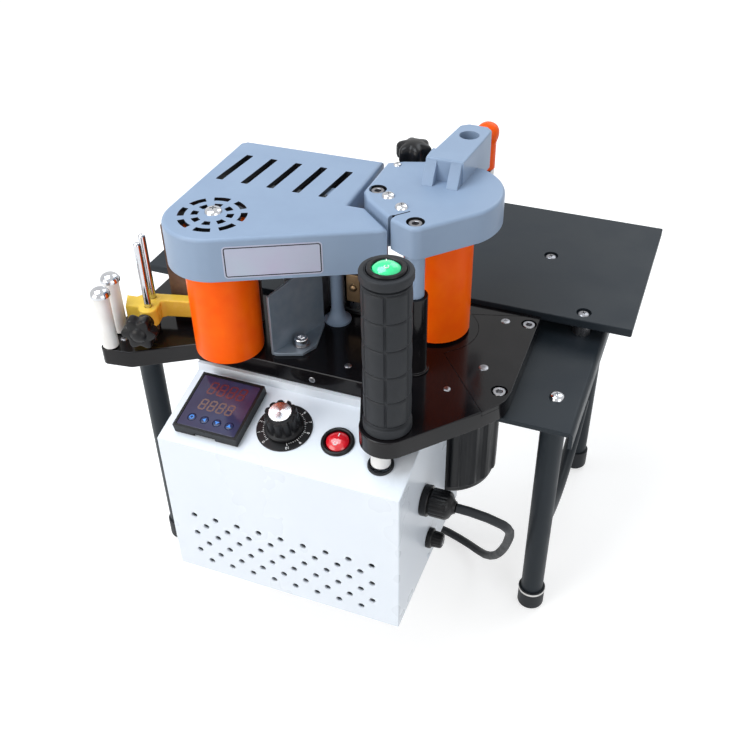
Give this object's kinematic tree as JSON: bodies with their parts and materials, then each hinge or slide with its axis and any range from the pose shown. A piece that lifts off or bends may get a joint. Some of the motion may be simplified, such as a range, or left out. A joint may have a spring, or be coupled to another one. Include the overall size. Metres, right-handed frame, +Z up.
{
  "type": "edge banding machine",
  "caption": "Bench edge banding machine on a tubular stand, with rubber feed rollers, covers, grip, tape guide, control box with dial and switches, and side tables.",
  "frame": {"origin": "middle of the footprint without the power lead, on the surface that the feet stand on", "axes": "+X to the operator's right along the control box, +Y from the operator to the board, +Z up"},
  "size_m": [0.375, 0.337, 0.3609],
  "materials": {
    "black_paint": "gloss",
    "motor_black": "satin",
    "slate_paint": "satin",
    "white_paint": "satin",
    "cover_grey": "satin",
    "steel": "machined",
    "bright_steel": "polished",
    "cast_aluminium": "cast",
    "orange_rubber": "smooth",
    "orange_plastic": "gloss",
    "yellow_plastic": "satin",
    "black_plastic": "fine texture",
    "key_plastic": "satin",
    "red_plastic": "clear tinted",
    "green_plastic": "clear tinted",
    "white_plastic": "satin",
    "phenolic": "laminate",
    "black_rubber": "matt"
  },
  "bodies": {
    "frame": {"base_plate": "black_paint", "wing_plate": "black_paint", "left_bracket": "black_paint", "right_bracket": "black_paint", "drive_motor": "motor_black", "leg_frame_left": "slate_paint", "leg_frame_right": "slate_paint", "left_table": "slate_paint", "right_table": "slate_paint", "control_box": "white_paint", "box_rear_panel": "white_paint", "left_cover": "cover_grey", "right_cover": "cover_grey", "tape_guide_plate": "cover_grey", "cover_column": "cover_grey", "cover_post_front": "black_paint", "cover_post_rear": "black_paint", "gear_cover": "steel", "left_roller_axle": "steel", "heater": "steel", "tape_rod_front": "bright_steel", "tape_rod_rear": "bright_steel", "tape_roller_pin_front": "bright_steel", "tape_roller_pin_rear": "bright_steel", "glue_pot": "cast_aluminium", "controller_body": "black_plastic", "speed_control": "black_plastic", "power_switch_bezel": "black_plastic", "grip_switch_bezel": "black_plastic", "fuse_holder": "black_plastic", "cable_gland": "black_plastic", "wire_bush": "white_plastic", "tape_board": "phenolic", "foot_front_left": "black_rubber", "foot_front_right": "black_rubber", "foot_rear_left": "black_rubber", "foot_rear_right": "black_rubber", "grip_sleeve": "black_rubber", "power_cord": "black_rubber", "power_cord_coil": "black_rubber", "power_plug": "black_rubber"},
    "drive_roller": {"drive_shaft": "steel", "right_feed_roller": "orange_rubber"},
    "idler_gear": {"idler_gear": "steel"},
    "glue_roller": {"glue_roller": "steel"},
    "left_roller": {"left_feed_roller": "orange_rubber"},
    "tape_roller_front": {"tape_roller_front": "white_plastic"},
    "tape_roller_rear": {"tape_roller_rear": "white_plastic"},
    "guide_block": {"tape_guide_block": "yellow_plastic"},
    "clamp_knob": {"guide_clamp_knob": "black_plastic"},
    "rear_knob": {"rear_star_knob": "black_plastic"},
    "lever": {"rear_lever": "steel", "lever_grip": "orange_plastic"},
    "speed_knob": {"speed_knob": "black_plastic"},
    "power_rocker": {"power_switch_rocker": "red_plastic"},
    "grip_rocker": {"grip_switch_rocker": "green_plastic"},
    "key_1": {"controller_key_1": "key_plastic"},
    "key_2": {"controller_key_2": "key_plastic"},
    "key_3": {"controller_key_3": "key_plastic"},
    "key_4": {"controller_key_4": "key_plastic"}
  },
  "joints": [
    {"name": "drive_roller_spin", "type": "hinge", "parent": "frame", "child": "drive_roller", "pos_m": [0.0528, -0.0251, 0.24], "axis": [0, 0, 1], "continuous": true},
    {"name": "idler_gear_spin", "type": "hinge", "parent": "frame", "child": "idler_gear", "pos_m": [0.01939, -0.02153, 0.219], "axis": [0, 0, 1], "continuous": true},
    {"name": "glue_roller_spin", "type": "hinge", "parent": "frame", "child": "glue_roller", "pos_m": [-0.00925, -0.01847, 0.219], "axis": [0, 0, 1], "continuous": true},
    {"name": "left_roller_spin", "type": "hinge", "parent": "frame", "child": "left_roller", "pos_m": [-0.0763, -0.0979, 0.24], "axis": [0, 0, 1], "continuous": true},
    {"name": "tape_roller_front_spin", "type": "hinge", "parent": "frame", "child": "tape_roller_front", "pos_m": [-0.1563, -0.1271, 0.24], "axis": [0, 0, 1], "continuous": true},
    {"name": "tape_roller_rear_spin", "type": "hinge", "parent": "frame", "child": "tape_roller_rear", "pos_m": [-0.1605, -0.1085, 0.24], "axis": [0, 0, 1], "continuous": true},
    {"name": "guide_block_height", "type": "slide", "parent": "frame", "child": "guide_block", "axis": [0, 0, 1], "range_m": [-0.0015, 0.036]},
    {"name": "clamp_knob_turn", "type": "hinge", "parent": "guide_block", "child": "clamp_knob", "pos_m": [-0.13552, -0.11033, 0.245], "axis": [0.2419, -0.9703, 0], "range_deg": [-30, 360]},
    {"name": "rear_knob_turn", "type": "hinge", "parent": "frame", "child": "rear_knob", "pos_m": [0.019, 0.0191, 0.34], "axis": [0, 0, 1], "range_deg": [-30, 360]},
    {"name": "rear_lever_swing", "type": "hinge", "parent": "frame", "child": "lever", "pos_m": [0.058, 0.0205, 0.33], "axis": [0, 0, 1], "range_deg": [-75, 45]},
    {"name": "speed_knob_turn", "type": "hinge", "parent": "frame", "child": "speed_knob", "pos_m": [-0.0179, -0.13868, 0.20982], "axis": [0, -0.2343, 0.9722], "range_deg": [-300, 0]},
    {"name": "power_rocker_tilt", "type": "hinge", "parent": "frame", "child": "power_rocker", "pos_m": [0.0215, -0.13748, 0.20229], "axis": [1, 0, 0], "range_deg": [-8, 8]},
    {"name": "grip_rocker_tilt", "type": "hinge", "parent": "frame", "child": "grip_rocker", "pos_m": [0.0575, -0.1385, 0.3448], "axis": [1, 0, 0], "range_deg": [-8, 8]},
    {"name": "key_1_press", "type": "slide", "parent": "frame", "child": "key_1", "axis": [0, 0.2343, -0.9722], "range_m": [0, 0.0007], "stiffness_N_per_m": 300},
    {"name": "key_2_press", "type": "slide", "parent": "frame", "child": "key_2", "axis": [0, 0.2343, -0.9722], "range_m": [0, 0.0007], "stiffness_N_per_m": 300},
    {"name": "key_3_press", "type": "slide", "parent": "frame", "child": "key_3", "axis": [0, 0.2343, -0.9722], "range_m": [0, 0.0007], "stiffness_N_per_m": 300},
    {"name": "key_4_press", "type": "slide", "parent": "frame", "child": "key_4", "axis": [0, 0.2343, -0.9722], "range_m": [0, 0.0007], "stiffness_N_per_m": 300}
  ],
  "couplings": [
    {"joint": "idler_gear_spin", "follows": "drive_roller_spin", "ratio": -0.75},
    {"joint": "glue_roller_spin", "follows": "drive_roller_spin", "ratio": 1.5}
  ]
}
